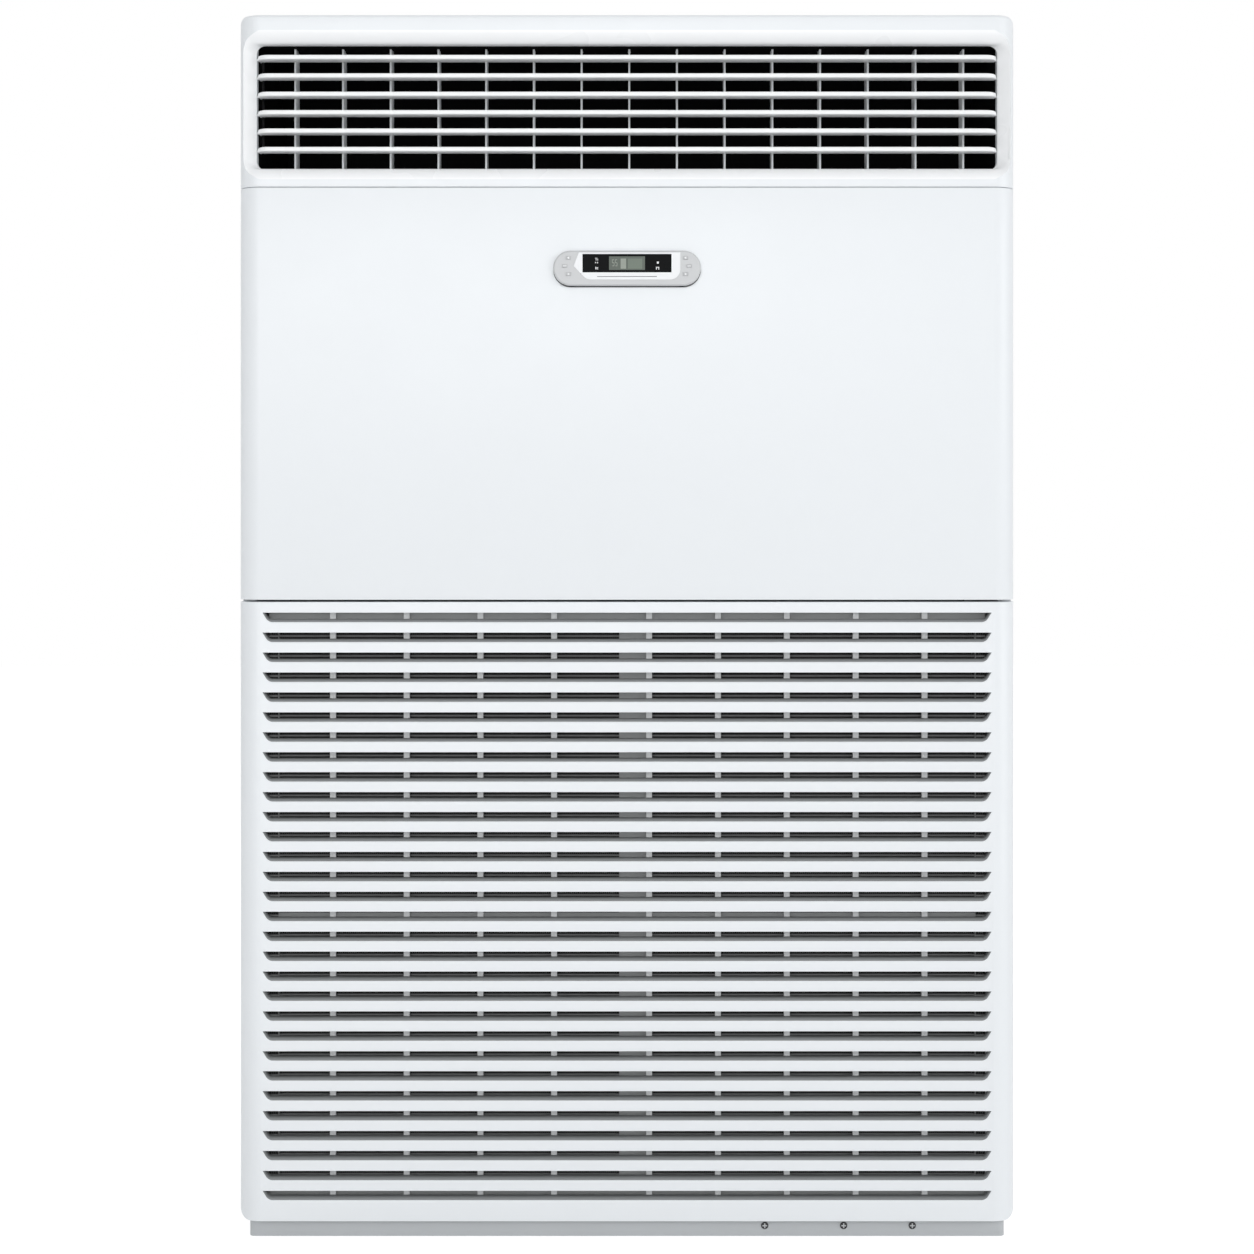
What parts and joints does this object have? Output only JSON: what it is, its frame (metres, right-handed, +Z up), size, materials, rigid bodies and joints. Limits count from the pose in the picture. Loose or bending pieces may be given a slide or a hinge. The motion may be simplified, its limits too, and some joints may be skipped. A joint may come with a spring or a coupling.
{
  "type": "floor standing air conditioner",
  "caption": "Tall wide cabinet air conditioner: louvred intake grille below, plain panel with a small display, flared outlet with tilting blades and swinging vanes on top",
  "frame": {"origin": "on the floor, at the middle of the cabinet's width and depth", "axes": "+X to the right as seen from the front, +Y from the front to the back, +Z up"},
  "size_m": [1.2, 0.4, 1.886],
  "materials": {
    "plinth_paint": "satin",
    "steel_paint": "satin",
    "white_moulding": "satin",
    "blade_white": "satin",
    "vane_grey": "matt",
    "duct_black": "matt",
    "frame_grey": "matt",
    "filter_net": "matt",
    "display_silver": "satin",
    "display_white": "satin",
    "display_black": "polished",
    "board_green": "matt",
    "key_grey": "satin",
    "screw_black": "satin",
    "zinc_steel": "satin",
    "motor_paint": "satin",
    "wheel_plastic": "matt",
    "fin_aluminium": "satin",
    "pan_plastic": "matt",
    "pipe_copper": "satin"
  },
  "bodies": {
    "cabinet": {"base_pan": "plinth_paint", "cabinet_screws": "screw_black", "rear_panel": "steel_paint", "side_panel_left": "steel_paint", "side_panel_right": "steel_paint", "top_panel": "steel_paint", "upper_front_panel": "white_moulding", "outlet_bezel": "white_moulding", "outlet_duct": "duct_black", "vane_motor": "duct_black", "display_bezel": "display_silver", "display_plate": "display_white", "display_window": "display_black", "display_board": "board_green", "fan_motor": "motor_paint", "scroll_left": "zinc_steel", "scroll_right": "zinc_steel", "blower_deck": "zinc_steel", "evaporator_coil": "fin_aluminium", "drain_pan": "pan_plastic", "refrigerant_pipes": "pipe_copper", "electric_box": "zinc_steel"},
    "grille": {"intake_grille": "white_moulding", "filter_frame": "frame_grey", "filter_1": "filter_net", "filter_2": "filter_net", "filter_3": "filter_net", "filter_4": "filter_net"},
    "fan": {"fan_shaft": "zinc_steel", "fan_wheel_left": "wheel_plastic", "fan_wheel_right": "wheel_plastic"},
    "blade_tie": {"blade_link": "duct_black"},
    "vane_tie": {"vane_link": "duct_black"},
    "outlet_blade_1": {"blade_1": "blade_white"},
    "outlet_blade_2": {"blade_2": "blade_white"},
    "outlet_blade_3": {"blade_3": "blade_white"},
    "outlet_blade_4": {"blade_4": "blade_white"},
    "outlet_blade_5": {"blade_5": "blade_white"},
    "outlet_blade_6": {"blade_6": "blade_white"},
    "outlet_vane_1": {"vane_1": "vane_grey"},
    "outlet_vane_2": {"vane_2": "vane_grey"},
    "outlet_vane_3": {"vane_3": "vane_grey"},
    "outlet_vane_4": {"vane_4": "vane_grey"},
    "outlet_vane_5": {"vane_5": "vane_grey"},
    "outlet_vane_6": {"vane_6": "vane_grey"},
    "outlet_vane_7": {"vane_7": "vane_grey"},
    "outlet_vane_8": {"vane_8": "vane_grey"},
    "outlet_vane_9": {"vane_9": "vane_grey"},
    "outlet_vane_10": {"vane_10": "vane_grey"},
    "outlet_vane_11": {"vane_11": "vane_grey"},
    "outlet_vane_12": {"vane_12": "vane_grey"},
    "outlet_vane_13": {"vane_13": "vane_grey"},
    "outlet_vane_14": {"vane_14": "vane_grey"},
    "outlet_vane_15": {"vane_15": "vane_grey"},
    "press_key_left_1": {"key_left_1": "key_grey"},
    "press_key_left_2": {"key_left_2": "key_grey"},
    "press_key_left_3": {"key_left_3": "key_grey"},
    "press_key_right_1": {"key_right_1": "key_grey"},
    "press_key_right_2": {"key_right_2": "key_grey"},
    "press_key_right_3": {"key_right_3": "key_grey"}
  },
  "joints": [
    {"name": "grille_tilt", "type": "hinge", "parent": "cabinet", "child": "grille", "pos_m": [0, -0.184, 0.033], "axis": [1, 0, 0], "range_deg": [0, 30]},
    {"name": "fan_spin", "type": "hinge", "parent": "cabinet", "child": "fan", "pos_m": [0, 0.013, 0.56], "axis": [1, 0, 0], "continuous": true},
    {"name": "blade_tilt_1", "type": "hinge", "parent": "cabinet", "child": "outlet_blade_1", "pos_m": [0, -0.155, 1.822], "axis": [1, 0, 0], "range_deg": [-20, 20]},
    {"name": "blade_tilt_2", "type": "hinge", "parent": "cabinet", "child": "outlet_blade_2", "pos_m": [0, -0.155, 1.7936], "axis": [1, 0, 0], "range_deg": [-20, 20]},
    {"name": "blade_tilt_3", "type": "hinge", "parent": "cabinet", "child": "outlet_blade_3", "pos_m": [0, -0.155, 1.7652], "axis": [1, 0, 0], "range_deg": [-20, 20]},
    {"name": "blade_tilt_4", "type": "hinge", "parent": "cabinet", "child": "outlet_blade_4", "pos_m": [0, -0.155, 1.7368], "axis": [1, 0, 0], "range_deg": [-20, 20]},
    {"name": "blade_tilt_5", "type": "hinge", "parent": "cabinet", "child": "outlet_blade_5", "pos_m": [0, -0.155, 1.7084], "axis": [1, 0, 0], "range_deg": [-20, 20]},
    {"name": "blade_tilt_6", "type": "hinge", "parent": "cabinet", "child": "outlet_blade_6", "pos_m": [0, -0.155, 1.68], "axis": [1, 0, 0], "range_deg": [-20, 20]},
    {"name": "blade_tie_swing", "type": "hinge", "parent": "outlet_blade_1", "child": "blade_tie", "pos_m": [-0.567, -0.144, 1.822], "axis": [1, 0, 0], "range_deg": [-20, 20]},
    {"name": "vane_swing_1", "type": "hinge", "parent": "cabinet", "child": "outlet_vane_1", "pos_m": [-0.518, -0.117, 1.747], "axis": [0, 0, 1], "range_deg": [-35, 35]},
    {"name": "vane_swing_2", "type": "hinge", "parent": "cabinet", "child": "outlet_vane_2", "pos_m": [-0.4435, -0.117, 1.747], "axis": [0, 0, 1], "range_deg": [-35, 35]},
    {"name": "vane_swing_3", "type": "hinge", "parent": "cabinet", "child": "outlet_vane_3", "pos_m": [-0.369, -0.117, 1.747], "axis": [0, 0, 1], "range_deg": [-35, 35]},
    {"name": "vane_swing_4", "type": "hinge", "parent": "cabinet", "child": "outlet_vane_4", "pos_m": [-0.2945, -0.117, 1.747], "axis": [0, 0, 1], "range_deg": [-35, 35]},
    {"name": "vane_swing_5", "type": "hinge", "parent": "cabinet", "child": "outlet_vane_5", "pos_m": [-0.22, -0.117, 1.747], "axis": [0, 0, 1], "range_deg": [-35, 35]},
    {"name": "vane_swing_6", "type": "hinge", "parent": "cabinet", "child": "outlet_vane_6", "pos_m": [-0.1455, -0.117, 1.747], "axis": [0, 0, 1], "range_deg": [-35, 35]},
    {"name": "vane_swing_7", "type": "hinge", "parent": "cabinet", "child": "outlet_vane_7", "pos_m": [-0.071, -0.117, 1.747], "axis": [0, 0, 1], "range_deg": [-35, 35]},
    {"name": "vane_swing_8", "type": "hinge", "parent": "cabinet", "child": "outlet_vane_8", "pos_m": [0.0035, -0.117, 1.747], "axis": [0, 0, 1], "range_deg": [-35, 35]},
    {"name": "vane_swing_9", "type": "hinge", "parent": "cabinet", "child": "outlet_vane_9", "pos_m": [0.078, -0.117, 1.747], "axis": [0, 0, 1], "range_deg": [-35, 35]},
    {"name": "vane_swing_10", "type": "hinge", "parent": "cabinet", "child": "outlet_vane_10", "pos_m": [0.1525, -0.117, 1.747], "axis": [0, 0, 1], "range_deg": [-35, 35]},
    {"name": "vane_swing_11", "type": "hinge", "parent": "cabinet", "child": "outlet_vane_11", "pos_m": [0.227, -0.117, 1.747], "axis": [0, 0, 1], "range_deg": [-35, 35]},
    {"name": "vane_swing_12", "type": "hinge", "parent": "cabinet", "child": "outlet_vane_12", "pos_m": [0.3015, -0.117, 1.747], "axis": [0, 0, 1], "range_deg": [-35, 35]},
    {"name": "vane_swing_13", "type": "hinge", "parent": "cabinet", "child": "outlet_vane_13", "pos_m": [0.376, -0.117, 1.747], "axis": [0, 0, 1], "range_deg": [-35, 35]},
    {"name": "vane_swing_14", "type": "hinge", "parent": "cabinet", "child": "outlet_vane_14", "pos_m": [0.4505, -0.117, 1.747], "axis": [0, 0, 1], "range_deg": [-35, 35]},
    {"name": "vane_swing_15", "type": "hinge", "parent": "cabinet", "child": "outlet_vane_15", "pos_m": [0.525, -0.117, 1.747], "axis": [0, 0, 1], "range_deg": [-35, 35]},
    {"name": "vane_tie_swing", "type": "hinge", "parent": "outlet_vane_8", "child": "vane_tie", "pos_m": [0.0035, -0.1, 1.6565], "axis": [0, 0, 1], "range_deg": [-35, 35]},
    {"name": "key_left_1_press", "type": "slide", "parent": "cabinet", "child": "press_key_left_1", "axis": [0, 1, 0], "range_m": [0, 0.0008], "stiffness_N_per_m": 300, "springref_m": -0.001},
    {"name": "key_left_2_press", "type": "slide", "parent": "cabinet", "child": "press_key_left_2", "axis": [0, 1, 0], "range_m": [0, 0.0008], "stiffness_N_per_m": 300, "springref_m": -0.001},
    {"name": "key_left_3_press", "type": "slide", "parent": "cabinet", "child": "press_key_left_3", "axis": [0, 1, 0], "range_m": [0, 0.0008], "stiffness_N_per_m": 300, "springref_m": -0.001},
    {"name": "key_right_1_press", "type": "slide", "parent": "cabinet", "child": "press_key_right_1", "axis": [0, 1, 0], "range_m": [0, 0.0008], "stiffness_N_per_m": 300, "springref_m": -0.001},
    {"name": "key_right_2_press", "type": "slide", "parent": "cabinet", "child": "press_key_right_2", "axis": [0, 1, 0], "range_m": [0, 0.0008], "stiffness_N_per_m": 300, "springref_m": -0.001},
    {"name": "key_right_3_press", "type": "slide", "parent": "cabinet", "child": "press_key_right_3", "axis": [0, 1, 0], "range_m": [0, 0.0008], "stiffness_N_per_m": 300, "springref_m": -0.001}
  ],
  "couplings": [
    {"joint": "blade_tilt_2", "follows": "blade_tilt_1", "ratio": 1},
    {"joint": "blade_tilt_3", "follows": "blade_tilt_1", "ratio": 1},
    {"joint": "blade_tilt_4", "follows": "blade_tilt_1", "ratio": 1},
    {"joint": "blade_tilt_5", "follows": "blade_tilt_1", "ratio": 1},
    {"joint": "blade_tilt_6", "follows": "blade_tilt_1", "ratio": 1},
    {"joint": "blade_tie_swing", "follows": "blade_tilt_1", "ratio": -1},
    {"joint": "vane_swing_1", "follows": "vane_swing_8", "ratio": 1},
    {"joint": "vane_swing_2", "follows": "vane_swing_8", "ratio": 1},
    {"joint": "vane_swing_3", "follows": "vane_swing_8", "ratio": 1},
    {"joint": "vane_swing_4", "follows": "vane_swing_8", "ratio": 1},
    {"joint": "vane_swing_5", "follows": "vane_swing_8", "ratio": 1},
    {"joint": "vane_swing_6", "follows": "vane_swing_8", "ratio": 1},
    {"joint": "vane_swing_7", "follows": "vane_swing_8", "ratio": 1},
    {"joint": "vane_swing_9", "follows": "vane_swing_8", "ratio": 1},
    {"joint": "vane_swing_10", "follows": "vane_swing_8", "ratio": 1},
    {"joint": "vane_swing_11", "follows": "vane_swing_8", "ratio": 1},
    {"joint": "vane_swing_12", "follows": "vane_swing_8", "ratio": 1},
    {"joint": "vane_swing_13", "follows": "vane_swing_8", "ratio": 1},
    {"joint": "vane_swing_14", "follows": "vane_swing_8", "ratio": 1},
    {"joint": "vane_swing_15", "follows": "vane_swing_8", "ratio": 1},
    {"joint": "vane_tie_swing", "follows": "vane_swing_8", "ratio": -1}
  ]
}
